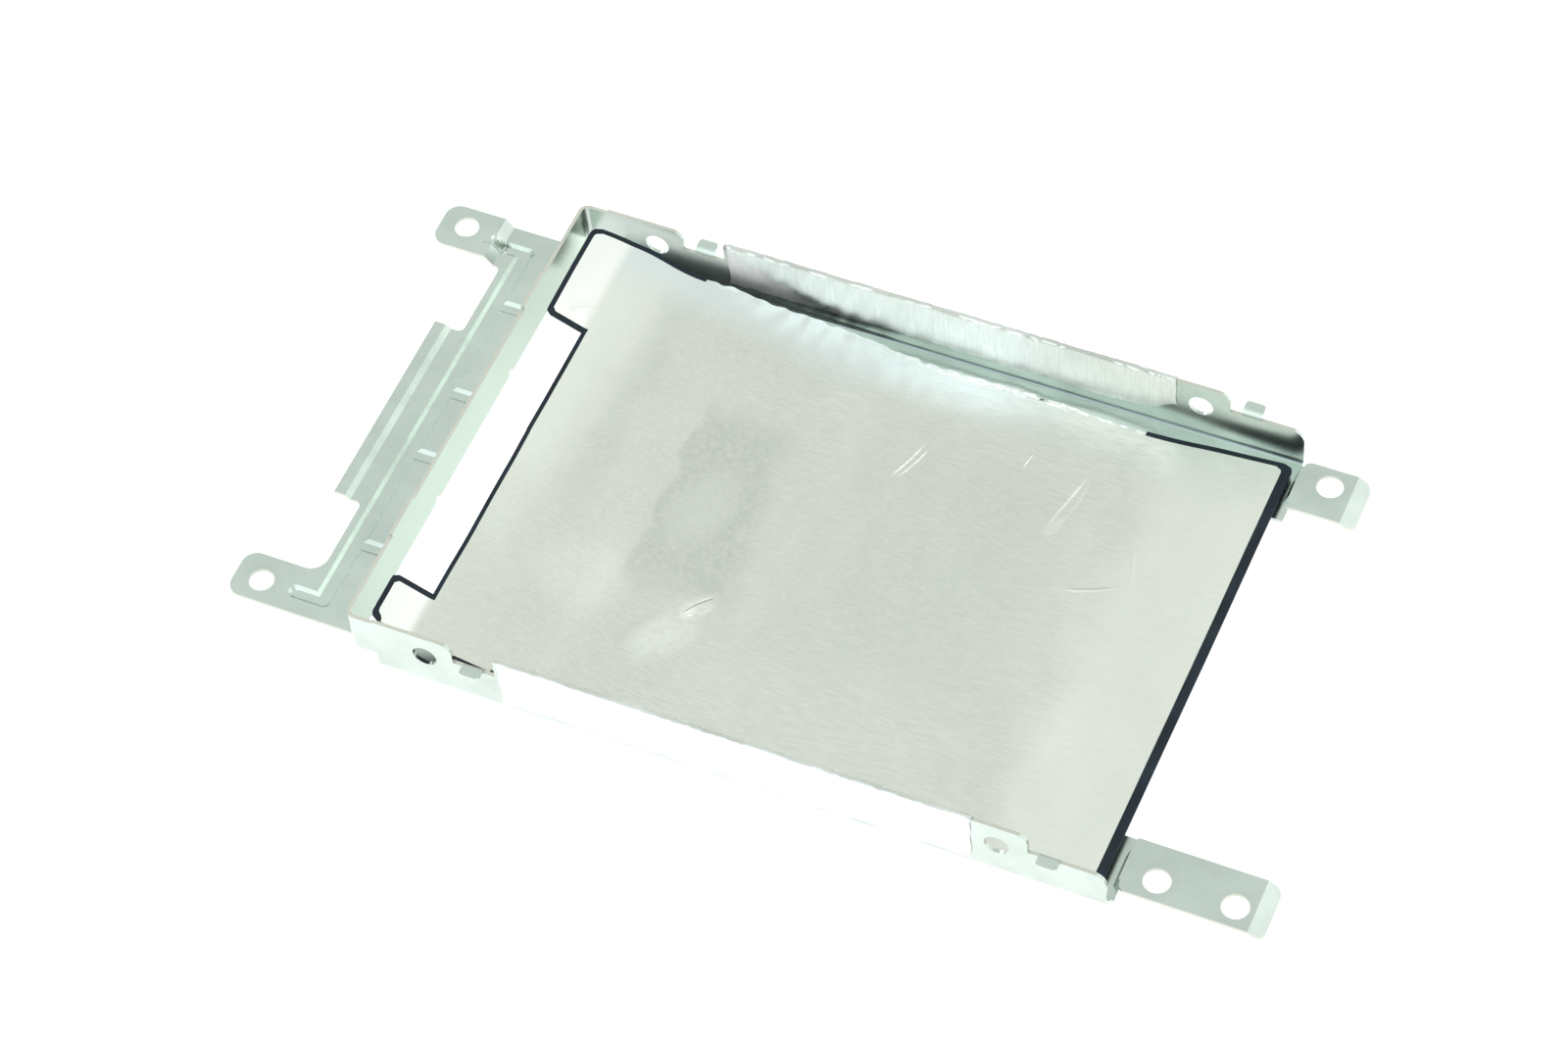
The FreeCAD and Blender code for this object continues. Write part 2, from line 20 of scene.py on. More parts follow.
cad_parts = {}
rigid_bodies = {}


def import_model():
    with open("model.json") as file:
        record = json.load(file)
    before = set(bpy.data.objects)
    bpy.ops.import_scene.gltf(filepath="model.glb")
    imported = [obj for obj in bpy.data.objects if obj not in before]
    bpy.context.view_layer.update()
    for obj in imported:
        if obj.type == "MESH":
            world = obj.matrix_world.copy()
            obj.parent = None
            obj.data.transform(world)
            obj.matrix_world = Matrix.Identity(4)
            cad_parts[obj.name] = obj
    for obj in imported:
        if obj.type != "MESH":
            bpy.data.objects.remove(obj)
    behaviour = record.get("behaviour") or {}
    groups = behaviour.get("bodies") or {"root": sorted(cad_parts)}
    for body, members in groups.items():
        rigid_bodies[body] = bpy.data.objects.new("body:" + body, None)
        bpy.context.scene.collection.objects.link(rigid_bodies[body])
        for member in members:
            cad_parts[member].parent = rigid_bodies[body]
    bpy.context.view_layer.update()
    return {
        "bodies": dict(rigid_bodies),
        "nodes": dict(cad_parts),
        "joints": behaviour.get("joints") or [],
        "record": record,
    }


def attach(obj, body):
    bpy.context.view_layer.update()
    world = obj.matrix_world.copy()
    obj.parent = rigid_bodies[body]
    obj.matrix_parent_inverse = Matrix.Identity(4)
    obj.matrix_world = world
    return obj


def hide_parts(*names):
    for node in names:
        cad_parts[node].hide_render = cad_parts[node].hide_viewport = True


LOG = logging.getLogger("caddy")
MM = 0.001
BODY = "root"
IMAGE_WIDTH = 1600
WALL_TO_ORIGIN = 50.3
NOISE_ROUGHNESS = 0.55
RIM_ANGLE = 50.0

Colour = tuple[float, float, float]
Span = tuple[float, float]
Point = tuple[float, float]
Array = np.ndarray
Measure = TypeVar("Measure", np.ndarray, "Signal")


class Side(Enum):
    """The two long sides of the tray: the sign of Y on each."""

    NEAR = -1
    FAR = 1


class Layer(Enum):
    """The two layers of the liner."""

    FILM = "film"
    FOIL = "foil"


class Signal:
    """A shader socket that takes part in Python arithmetic."""

    def __init__(self, shader: Shader, socket: bpy.types.NodeSocket) -> None:
        """Keeps the socket and the shader that it belongs to."""
        self.shader = shader
        self.socket = socket

    def _math(self, operation: str, *values: Signal | float) -> Signal:
        """Adds one Math node.

        Args:
            operation: the node's operation.
            values: its inputs, in order.
        Returns:
            The node's result.
        """
        return self.shader.node("ShaderNodeMath", {"operation": operation}, dict(enumerate(values)))

    def __add__(self, other: Signal | float) -> Signal:
        """Sum."""
        return self._math("ADD", self, other)

    __radd__ = __add__

    def __sub__(self, other: Signal | float) -> Signal:
        """Difference."""
        return self._math("SUBTRACT", self, other)

    def __rsub__(self, other: float) -> Signal:
        """Difference from a number."""
        return self._math("SUBTRACT", other, self)

    def __mul__(self, other: Signal | float) -> Signal:
        """Product."""
        return self._math("MULTIPLY", self, other)

    __rmul__ = __mul__

    def __truediv__(self, other: Signal | float) -> Signal:
        """Quotient."""
        return self._math("DIVIDE", self, other)

    def __pow__(self, other: float) -> Signal:
        """Power."""
        return self._math("POWER", self, other)

    def __abs__(self) -> Signal:
        """Absolute value."""
        return self._math("ABSOLUTE", self)

    def step(self, low: float, high: float) -> Signal:
        """Eases from 0 at low to 1 at high, or down if low is above high.

        Args:
            low: value that gives 0.
            high: value that gives 1.
        Returns:
            The eased signal.
        """
        ends = (low, high, 0.0, 1.0) if low < high else (high, low, 1.0, 0.0)
        keys = ("From Min", "From Max", "To Min", "To Max")
        inputs = {"Value": self, **dict(zip(keys, ends))}
        return self.shader.node("ShaderNodeMapRange", {"interpolation_type": "SMOOTHSTEP"}, inputs)

    def between(self, rise: Span, fall: Span) -> Signal:
        """Eases up over one span and down over another.

        Args:
            rise: values that give 0 and 1 on the way in.
            fall: values that give 0 and 1 on the way out.
        Returns:
            1 between the two spans and 0 outside them.
        """
        return self.step(*rise) * self.step(*fall)


class Shader:
    """A node tree that is filled by expressions."""

    def __init__(self, tree: bpy.types.NodeTree) -> None:
        """Empties the tree."""
        self.tree = tree
        tree.nodes.clear()

    def node(
        self, kind: str, settings: dict[str, Any], inputs: dict[str | int, Any], output: str | int = 0,
    ) -> Signal:
        """Adds a node of any type.

        Args:
            kind: the node's type.
            settings: its properties, set first.
            inputs: values or links of its sockets, by name or number.
            output: the wanted output socket.
        Returns:
            That output, or the first input of a node that has no outputs.
        """
        made = self.tree.nodes.new(kind)
        for name, value in settings.items():
            setattr(made, name, value)
        for name, value in inputs.items():
            if isinstance(value, Signal):
                self.tree.links.new(value.socket, made.inputs[name])
            else:
                made.inputs[name].default_value = value
        return Signal(self, made.outputs[output] if len(made.outputs) else made.inputs[0])

    def place(self) -> Signal:
        """Object coordinates in millimetres."""
        coordinates = self.node("ShaderNodeTexCoord", {}, {}, "Object")
        return self.node("ShaderNodeVectorMath", {"operation": "SCALE"}, {0: coordinates, "Scale": 1 / MM})

    def axes(self, vector: Signal) -> tuple[Signal, Signal, Signal]:
        """Splits a vector into its three parts."""
        parts = [self.node("ShaderNodeSeparateXYZ", {}, {0: vector}, axis) for axis in "XYZ"]
        return parts[0], parts[1], parts[2]

    def face(self) -> tuple[Signal, Signal, Signal]:
        """The true face direction's three parts."""
        return self.axes(self.node("ShaderNodeNewGeometry", {}, {}, "True Normal"))

    def noise(
        self, place: Signal, lengths: tuple[float, float, float], detail: float = 2.0, seed: float = 0.0,
    ) -> Signal:
        """Soft noise whose lumps have the given lengths along the axes.

        Args:
            place: position in millimetres.
            lengths: lump length along X, Y and Z.
            detail: finer octaves.
            seed: shift along every axis.
        Returns:
            Values around 0.5.
        """
        scale = tuple(1 / length for length in lengths)
        mapping = {"Vector": place, "Scale": scale, "Location": (seed, seed, seed)}
        moved = self.node("ShaderNodeMapping", {}, mapping)
        inputs = {"Vector": moved, "Scale": 1.0, "Detail": detail, "Roughness": NOISE_ROUGHNESS}
        return self.node("ShaderNodeTexNoise", {}, inputs)

    def mix(
        self, share: Signal | float, first: Colour | Signal, second: Colour | Signal, blend: str = "MIX",
    ) -> Signal:
        """Mixes two colours.

        Args:
            share: share of the second colour.
            first: first colour.
            second: second colour.
            blend: the way of mixing.
        Returns:
            The mixed colour.
        """
        ends = [value if isinstance(value, Signal) else (*value, 1.0) for value in (first, second)]
        settings = {"data_type": "RGBA", "clamp_factor": True, "blend_type": blend}
        return self.node("ShaderNodeMix", settings, {0: share, 6: ends[0], 7: ends[1]}, 2)

    def bump(self, height: Signal, distance: float, strength: float, normal: Signal | None = None) -> Signal:
        """A normal from a height.

        Args:
            height: height between 0 and 1.
            distance: millimetres that 1 stands for.
            strength: strength of the effect.
            normal: the normal that it starts from, if not the surface's own.
        Returns:
            The normal.
        """
        inputs = {"Height": height, "Distance": distance * MM, "Strength": strength}
        return self.node("ShaderNodeBump", {}, inputs if normal is None else {**inputs, "Normal": normal})


def new_shader(name: str) -> tuple[bpy.types.Material, Shader]:
    """Makes a material with an empty node tree.

    Args:
        name: name of the material.
    Returns:
        The material and its shader.
    """
    material = bpy.data.materials.new(name)
    material.use_nodes = True
    return material, Shader(material.node_tree)


def close_shader(shader: Shader, inputs: dict[str, Any]) -> None:
    """Ends a material's tree with its one shader and its output."""
    surface = shader.node("ShaderNodeBsdfPrincipled", {}, inputs)
    shader.node("ShaderNodeOutputMaterial", {}, {"Surface": surface})


@dataclass(frozen=True)
class SteelFinish:
    """Zinc-plated sheet steel: fine grain, raw cut edges, stains, and painted shade in rings round the holes, as a
    green tint on the end wall's inner face and in the bends.
    """

    light: Colour = (0.585, 0.65, 0.605)
    dull: Colour = (0.51, 0.57, 0.53)
    cut: Colour = (0.60, 0.58, 0.51)
    # colour of the real stains, also used for the painted rings of shade round the holes
    smudge_and_ring_shade: Colour = (0.47, 0.515, 0.485)
    # painted green-tinted shade for the end wall's inner face
    end_wall_shade_tint: Colour = (0.50, 0.61, 0.52)
    # colour of the painted shade in the bends
    fold: Colour = (0.16, 0.21, 0.22)
    plate_holes: tuple[Point, ...] = (
        (-66.15, -30.55), (-66.15, 30.55), (55.55, -31.4), (65.5, -31.4), (55.55, 31.4),
    )
    wall_holes: tuple[Point, ...] = ((-39.95, 6.0), (36.65, 6.0))
    ring_reach: Span = (2.7, 2.45)
    ring_share: float = 0.25
    plate_start: Span = (51.2, 51.5)
    wall_inside: Span = (35.1, 35.15)
    wall_outside: Span = (35.85, 35.8)
    wall_tops: Span = (6.4, 6.5)
    end_wall_top: Span = (-50.1, -50.25)
    end_wall_half: Span = (35.3, 35.2)
    end_wall_inside: float = -50.0
    end_wall_depth: Span = (1.0, 0.6)
    end_wall_foot: Span = (0.4, 0.8)
    bend_start: Span = (34.0, 34.3)
    bend_height: Span = (1.8, 1.5)
    bend_lean: tuple[Span, Span] = ((0.1, 0.3), (0.98, 0.9))
    bend_middle: tuple[Span, Span] = ((0.45, 0.6), (0.9, 0.8))
    # strength of the painted shade in the bends: whole bend and its middle
    bend_shade_strength: tuple[float, float] = (0.5, 0.4)
    upright: Span = (0.35, 0.15)
    level: Span = (0.9, 0.97)

    def cut_edges(self, shader: Shader, place: Signal) -> Signal:
        """Faces where the sheet was sheared: upright faces of the plates and the walls' narrow tops.

        Args:
            shader: tree to add to.
            place: position in millimetres.
        Returns:
            1 on cut faces and 0 elsewhere.
        """
        x, y, z = shader.axes(place)
        upward = shader.face()[2]
        sheared = abs(upward).step(*self.upright) * abs(x).step(*self.plate_start)
        side_walls = abs(y).between(self.wall_inside, self.wall_outside)
        end_wall = x.step(*self.end_wall_top) * abs(y).step(*self.end_wall_half)
        tops = upward.step(*self.level) * z.step(*self.wall_tops) * (side_walls + end_wall).step(0.2, 0.6)
        return (sheared + tops).step(0.2, 0.8)

    def rings(self, shader: Shader, place: Signal) -> Signal:
        """Painted rings of shade round each hole, standing in for the shading of its shallow dimple.

        Args:
            shader: tree to add to.
            place: position in millimetres.
        Returns:
            1 on a ring and 0 elsewhere.
        """
        x, y, z = shader.axes(place)
        spots = [(x, y, spot) for spot in self.plate_holes] + [(x, z, spot) for spot in self.wall_holes]
        total: Signal | float = 0.0
        for first, second, (one, two) in spots:
            reach = ((first - one) ** 2.0 + (second - two) ** 2.0) ** 0.5
            total = reach.step(*self.ring_reach) + total
        return total

    def bend_shade(self, shader: Shader, place: Signal) -> Signal:
        """Painted shade in the inner bends at the feet of the side walls, darkest along their middle.

        Args:
            shader: tree to add to.
            place: position in millimetres.
        Returns:
            Up to 1 in the bends and 0 elsewhere.
        """
        _, y, z = shader.axes(place)
        upward = shader.face()[2]
        whole, middle = upward.between(*self.bend_lean), upward.between(*self.bend_middle)
        bend_shade_amount = whole * self.bend_shade_strength[0] + middle * self.bend_shade_strength[1]
        return bend_shade_amount * abs(y).step(*self.bend_start) * z.step(*self.bend_height)

    def end_wall(self, shader: Shader, place: Signal) -> Signal:
        """Inner face of the end wall, with painted green-tinted shade for the light that it reflects.

        Args:
            shader: tree to add to.
            place: position in millimetres.
        Returns:
            1 on that face and 0 elsewhere.
        """
        x, _, z = shader.axes(place)
        depth = abs(x - self.end_wall_inside).step(*self.end_wall_depth)
        return shader.face()[0].step(0.7, 0.9) * depth * z.step(*self.end_wall_foot)

    def material(self) -> bpy.types.Material:
        """Makes the material.

        Returns:
            The material.
        """
        material, shader = new_shader("sheet_steel")
        place = shader.place()
        cloud = shader.noise(place, (9.0, 7.0, 7.0), 3.0).step(0.3, 0.72)
        grain = shader.noise(place, (0.22, 0.16, 0.16), 2.0, 3.0)
        drawn = shader.noise(place, (7.0, 0.2, 0.2), 2.0, 7.0)
        stain = shader.noise(place, (3.2, 3.2, 3.2), 4.0, 11.0).step(0.58, 0.74)
        ring = self.rings(shader, place) * self.ring_share
        body = shader.mix(cloud, self.light, self.dull)
        # painted shade: darker rings round the holes stand in for the dimples' shading, mixed in with real stains
        body = shader.mix(stain * 0.35 + ring * grain, body, self.smudge_and_ring_shade)
        edge = self.cut_edges(shader, place)
        colour = shader.mix(edge * (grain * 0.5 + 0.5), body, self.cut)
        # painted green-tinted shade on the end wall's inner face
        colour = shader.mix(self.end_wall(shader, place), colour, self.end_wall_shade_tint)
        # painted shade in the bends at the feet of the side walls
        colour = shader.mix(self.bend_shade(shader, place), colour, self.fold)
        rough = cloud * 0.05 + grain * 0.08 + stain * 0.05 + edge * 0.2 + 0.17
        normal = shader.bump(grain * 0.55 + drawn * 0.45, 0.005, 0.5)
        close_shader(shader, {"Base Color": colour, "Metallic": 1.0, "Roughness": rough, "Normal": normal})
        return material


@dataclass(frozen=True)
class BowedLine:
    """A line from one point to another, with its width, height and sideways bow."""

    start: Point
    stop: Point
    width: float
    height: float
    bow: float = 0.0

    def locate(self, x: Measure, y: Measure) -> tuple[Measure, Measure]:
        """Position in the line's own axes, with a parabola for its bow.

        Args:
            x: position along X in millimetres.
            y: position along Y in millimetres.
        Returns:
            Share of the way along the line, and distance across it.
        """
        run = (self.stop[0] - self.start[0], self.stop[1] - self.start[1])
        length = math.hypot(*run)
        dx, dy = x - self.start[0], y - self.start[1]
        share = dx * (run[0] / length**2) + dy * (run[1] / length**2)
        bowed = share * (1.0 - share) * (4.0 * self.bow)
        return share, dy * (run[0] / length) - dx * (run[1] / length) - bowed


@dataclass(frozen=True)
class TurnedOval:
    """An oval, with its middle, half-lengths, height and turn."""

    middle: Point
    reach: tuple[float, float]
    height: float
    turn: float = 0.0

    def squared(self, x: Measure, y: Measure) -> Measure:
        """Squared distance from the middle in the oval's own axes, 1 at its rim.

        Args:
            x: position along X in millimetres.
            y: position along Y in millimetres.
        Returns:
            The squared distance.
        """
        dx, dy = x - self.middle[0], y - self.middle[1]
        cosine, sine = math.cos(self.turn), math.sin(self.turn)
        first = (dx * cosine + dy * sine) / self.reach[0]
        second = (dy * cosine - dx * sine) / self.reach[1]
        return first * first + second * second


@dataclass(frozen=True)
class Scratch(BowedLine):
    """A thin crease in foil that only its shading shows."""

    def relief(self, x: Signal, y: Signal) -> Signal:
        """Height of the crease: eased across the line and towards its two ends.

        Args:
            x: position along X in millimetres.
            y: position along Y in millimetres.
        Returns:
            Height in millimetres.
        """
        share, across = self.locate(x, y)
        return abs(across).step(self.width, 0.0) * share.between((-0.1, 0.35), (1.1, 0.65)) * self.height


@dataclass(frozen=True)
class SheenSpot(TurnedOval):
    """A soft oval of painted sheen on the foil where it bulges; its height is its strength."""

    def share(self, x: Signal, y: Signal) -> Signal:
        """Strength in the oval's middle, eased to 0 at its rim."""
        return self.squared(x, y).step(1.0, 0.0) * self.height


# ovals of painted sheen on the foil
SHEEN_SPOTS = (
    SheenSpot((-18.0, -0.1), (4.6, 9.0), 0.30, -0.2),
    SheenSpot((-15.0, -19.6), (3.6, 6.5), 0.75, -0.45),
    SheenSpot((-12.9, -13.6), (3.4, 1.9), 0.9, 0.85),
    SheenSpot((-28.0, -16.4), (7.5, 7.0), 0.45),
    SheenSpot((-39.5, -6.0), (4.0, 14.0), 0.35),
    SheenSpot((24.3, 14.6), (1.1, 2.6), 0.45, -0.3),
)
SCRATCHES = (
    Scratch((2.0, 14.0), (4.6, 21.2), 0.28, 0.07, -0.3),
    Scratch((3.0, 14.3), (5.4, 20.9), 0.28, 0.07, -0.3),
    Scratch((17.7, 21.3), (18.2, 24.4), 0.3, 0.05, 0.1),
    Scratch((23.8, 12.9), (26.3, 23.4), 0.5, 0.05, 0.1),
    Scratch((24.1, 12.6), (26.5, 22.8), 0.5, 0.06, -0.9),
    Scratch((28.3, 5.3), (36.7, 8.8), 0.36, 0.10, -0.55),
    Scratch((30.6, 3.0), (36.8, 7.0), 0.5, 0.03, -0.5),
    Scratch((35.0, 14.8), (36.9, 9.0), 0.35, -0.02, 0.2),
    Scratch((40.6, 2.2), (45.7, 9.3), 0.4, 0.035, 0.3),
    Scratch((40.2, 6.2), (43.9, 9.8), 0.4, -0.03, 0.2),
    Scratch((-14.4, -15.9), (-11.2, -11.2), 0.3, -0.16, 0.15),
    Scratch((-13.2, -16.2), (-11.0, -13.6), 0.3, 0.10, 0.1),
    Scratch((-44.8, 18.8), (-41.2, 21.3), 0.35, 0.07, 0.5),
)


@dataclass(frozen=True)
class FoilFinish:
    """Matt rolled aluminium foil: fine lines along the roll and soft cloudy tone, with painted shade patches,
    painted sheen, a painted reflection and painted glints.
    """

    name: str
    light: Colour
    dull: Colour
    # colour of the painted shade
    painted_shade: Colour
    line_lengths: tuple[float, float, float]
    # colour of the painted sheen
    painted_sheen: Colour = (0.82, 0.83, 0.77)
    # colour of the painted reflection along the far edge
    painted_edge_reflection: Colour = (0.75, 0.80, 0.81)
    # colour of the painted glints
    bright: Colour = (0.97, 0.97, 0.94)
    rough: float = 0.26
    scratches: tuple[Scratch, ...] = ()
    # ovals of painted sheen
    spots: tuple[SheenSpot, ...] = ()
    # height above which the strip's top gets painted shade
    crown: float = math.inf
    crown_fade: float = 0.06

    def patch(self, shader: Shader, place: Signal) -> Signal:
        """Painted shade: a dark patch where the film rises, a narrow band above it and a broad faint one.

        Args:
            shader: tree to add to.
            place: position in millimetres.
        Returns:
            Up to 1 inside the painted shade and 0 outside.
        """
        wobble = (shader.noise(place, (6.0, 6.0, 6.0), 2.0, 5.0) - 0.5) * 5.0
        x, y, _ = shader.axes(place)
        moved = x + wobble
        across = moved.step(-23.9, -22.9) * (moved + y * 0.1).step(-8.5, -13.5)
        along = (y + wobble).between((-17.0, -9.0), (18.0, 12.0))
        high = moved.between((-36.5, -33.5), (-29.5, -32.5)) * y.step(-14.0, 2.0) * 0.8
        broad = moved.between((-12.0, 0.0), (32.0, 18.0)) * y.between((-24.0, -8.0), (27.0, 15.0)) * 0.5
        return across * along + high + broad

    def paint_shade_and_light(self, shader: Shader, place: Signal, colour: Signal) -> Signal:
        """Paints shade on the dull places, painted sheen on both ends and the bulges, a painted reflection on the
        far edge and painted glints on the torn edge and the end tabs.

        Args:
            shader: tree to add to.
            place: position in millimetres.
            colour: the foil's own colour.
        Returns:
            The colour with its painted shade and light.
        """
        wobble = (shader.noise(place, (11.0, 11.0, 11.0), 2.0, 8.0) - 0.5) * 9.0
        x, y, _ = shader.axes(place)
        grain = shader.noise(place, (0.9, 0.4, 0.4), 2.0, 6.0).step(0.3, 0.62)
        mottle = shader.noise(place, (0.8, 0.8, 0.8), 3.0, 13.0).step(0.34, 0.62)
        # painted shade: a dark patch, a band above it and a faint broad one, mottled
        colour = shader.mix(self.patch(shader, place) * (grain * 0.4 + mottle * 0.4 + 0.25), colour, self.painted_shade)
        # painted sheen on the far-left plateau and the right end
        high = (x + wobble).step(-28.0, -42.0) * (y.step(-14.0, 10.0) * 0.75 + 0.2)
        ends = (x + wobble).step(30.0, 38.0) * 0.45 + high
        # painted sheen on the bulges
        shine = sum(spot.share(x + wobble * 0.3, y - wobble * 0.3) for spot in self.spots)
        colour = shader.mix(ends + shine * (mottle * 0.5 + 0.5), colour, self.painted_sheen)
        # painted reflection: the far edge lighter and bluish
        edge = (y + wobble * 0.4).step(24.0, 31.0) * (x + wobble).step(24.0, 6.0)
        colour = shader.mix(edge * 0.75, colour, self.painted_edge_reflection)
        # painted glints: white flecks on the torn far edge and lighter end tabs
        glint_flecks = shader.noise(place, (0.9, 0.5, 0.5), 2.0, 15.0).step(0.46, 0.54)
        torn = y.step(31.9, 32.4) * glint_flecks * x.between((-6.0, 4.0), (30.4, 29.8))
        tabs = (x + wobble * 0.06).step(-41.7, -43.0)
        return shader.mix(torn + tabs * 0.9, colour, self.bright)

    def material(self) -> bpy.types.Material:
        """Makes the material.

        Returns:
            The material.
        """
        material, shader = new_shader(self.name)
        place = shader.place()
        lines = shader.noise(place, self.line_lengths, 2.0)
        fine = shader.noise(place, tuple(0.35 * length for length in self.line_lengths), 2.0, 4.0)
        cloud = shader.noise(place, (14.0, 11.0, 11.0), 3.0, 2.0).step(0.32, 0.68)
        speck = shader.noise(place, (0.5, 0.5, 0.5), 1.0, 9.0).step(0.74, 0.80)
        streak = (lines * 0.6 + fine * 0.4).step(0.36, 0.64)
        colour = shader.mix(streak * 0.65 + cloud * 0.2, self.light, self.dull)
        normal = shader.bump(lines * 0.5 + fine * 0.5, 0.01, 0.55)
        if self.scratches:
            colour = self.paint_shade_and_light(shader, place, colour)
            x, y, _ = shader.axes(place)
            height = sum(scratch.relief(x, y) for scratch in self.scratches)
            normal = shader.bump(height, 1.0, 1.0, normal)
        if self.crown < math.inf:
            # painted shade along the strip's top
            top_shade = shader.axes(place)[2].step(self.crown, self.crown + self.crown_fade)
            colour = shader.mix(top_shade * (cloud * 0.4 + 0.5), colour, self.painted_shade)
        colour = shader.mix(speck * 0.4, colour, self.light)
        rough = streak * 0.07 + cloud * 0.06 + self.rough
        close_shader(shader, {"Base Color": colour, "Metallic": 1.0, "Roughness": rough, "Normal": normal})
        return material


@dataclass(frozen=True)
class FilmFinish:
    """Smooth black plastic film with faint scuffs."""

    deep: Colour = (0.004, 0.010, 0.018)
    pale: Colour = (0.014, 0.026, 0.040)

    def material(self) -> bpy.types.Material:
        """Makes the material.

        Returns:
            The material.
        """
        material, shader = new_shader("black_film")
        place = shader.place()
        cloud = shader.noise(place, (4.0, 4.0, 4.0), 3.0).step(0.3, 0.75)
        scuff = shader.noise(place, (5.0, 0.25, 0.25), 2.0, 6.0).step(0.6, 0.75)
        colour = shader.mix(cloud * 0.6 + scuff * 0.4, self.deep, self.pale)
        close_shader(shader, {
            "Base Color": colour, "Roughness": cloud * 0.12 + scuff * 0.10 + 0.28, "IOR": 1.34,
            "Normal": shader.bump(cloud, 0.02, 0.3),
        })
        return material


@dataclass(frozen=True)
class FloorFinish:
    """White sweep that is lit so brightly that shadows on it stay faint."""

    colour: Colour = (0.6, 0.6, 0.6)
    glow: float = 0.95

    def material(self) -> bpy.types.Material:
        """Makes the material.

        Returns:
            The material.
        """
        material, shader = new_shader("white_floor")
        close_shader(shader, {
            "Base Color": (*self.colour, 1.0), "Roughness": 0.9,
            "Emission Color": (1.0, 1.0, 1.0, 1.0), "Emission Strength": self.glow,
        })
        return material


def ease(share: Array) -> Array:
    """Smooth step: 3t squared less 2t cubed, with t held between 0 and 1."""
    held = np.clip(share, 0.0, 1.0)
    return held * held * (3.0 - 2.0 * held)


def bell(distance: Array, reach: float) -> Array:
    """Bell curve: exp of minus the squared distance over its reach."""
    return np.exp(-((distance / reach) ** 2))


def soft_ramp(distance: Array, rounding: Array | float) -> Array:
    """Rounded ramp: half the sum of d and the root of d squared plus the rounding."""
    return 0.5 * (distance + np.sqrt(distance * distance + rounding))


def waves(first: Array, second: Array | float, length: float, seed: int, count: int = 20) -> Array:
    """Even random surface: a sum of sine waves in random directions around one wavelength.

    Args:
        first: first coordinate.
        second: second coordinate, or one number for all.
        length: wavelength.
        seed: seed of the random directions and phases.
        count: number of waves.
    Returns:
        Heights of about unit spread.
    """
    draw = np.random.default_rng(seed)
    turn = draw.uniform(0.0, 2.0 * math.pi, count)
    pace = 2.0 * math.pi / length * draw.uniform(0.6, 1.5, count)
    phase = draw.uniform(0.0, 2.0 * math.pi, count)
    other = np.broadcast_to(second, first.shape)
    angle = first[..., None] * pace * np.cos(turn) + other[..., None] * pace * np.sin(turn) + phase
    return np.sin(angle).sum(-1) * math.sqrt(2.0 / count)


def stations(stops: Sequence[float], step: float) -> Array:
    """Stations about one step apart between fixed stops, which are all kept.

    Args:
        stops: rising fixed stations.
        step: wanted distance.
    Returns:
        All stations.
    """
    pairs = zip(stops, stops[1:])
    runs = [np.linspace(a, b, max(1, round((b - a) / step)), endpoint=False) for a, b in pairs]
    return np.append(np.concatenate(runs), stops[-1])


def grid_faces(rows: int, columns: int) -> Array:
    """Quads of a grid of points, row by row.

    Args:
        rows: number of rows.
        columns: number of columns.
    Returns:
        Four point numbers per quad.
    """
    corner = np.arange(rows * columns).reshape(rows, columns)
    quads = [corner[:-1, :-1], corner[:-1, 1:], corner[1:, 1:], corner[1:, :-1]]
    return np.stack(quads, axis=-1).reshape(-1, 4)


def make_piece(
    name: str, points: Array, quads: Array, thickness: float, material: bpy.types.Material,
) -> bpy.types.Object:
    """Makes a sheet piece from its lower or inner face.

    Args:
        name: name of the piece.
        points: points in millimetres.
        quads: four point numbers per face, turned so that the sheet grows along their direction.
        thickness: sheet thickness in millimetres.
        material: its finish.
    Returns:
        The new object.
    """
    used, numbers = np.unique(quads, return_inverse=True)
    mesh = bpy.data.meshes.new(name)
    mesh.from_pydata((points[used] * MM).tolist(), [], numbers.reshape(-1, 4).tolist())
    mesh.polygons.foreach_set("use_smooth", np.ones(len(mesh.polygons), dtype=bool))
    mesh.materials.append(material)
    piece = bpy.data.objects.new(name, mesh)
    bpy.context.scene.collection.objects.link(piece)
    wall = piece.modifiers.new("thickness", "SOLIDIFY")
    wall.thickness = thickness * MM
    wall.offset = 1.0
    split = piece.modifiers.new("crisp_rim", "EDGE_SPLIT")
    split.split_angle = math.radians(RIM_ANGLE)
    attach(piece, BODY)
    return piece


@dataclass(frozen=True)
class Crease(BowedLine):
    """A short bent ridge in a sheet."""

    def relief(self, x: Array, y: Array) -> Array:
        """Height of the ridge: a bell across the line, times an eased share along it.

        Args:
            x: positions along X.
            y: positions along Y.
        Returns:
            Height at each position.
        """
        share, across = self.locate(x, y)
        ends = ease((share + 0.15) / 0.4) * ease((1.15 - share) / 0.4)
        return self.height * ends * bell(across, self.width)


@dataclass(frozen=True)
class Dent(TurnedOval):
    """A soft bump or dent in a sheet."""

    def relief(self, x: Array, y: Array) -> Array:
        """Height of an oval bell: exp of minus the squared distance in its own axes."""
        return self.height * np.exp(-self.squared(x, y))


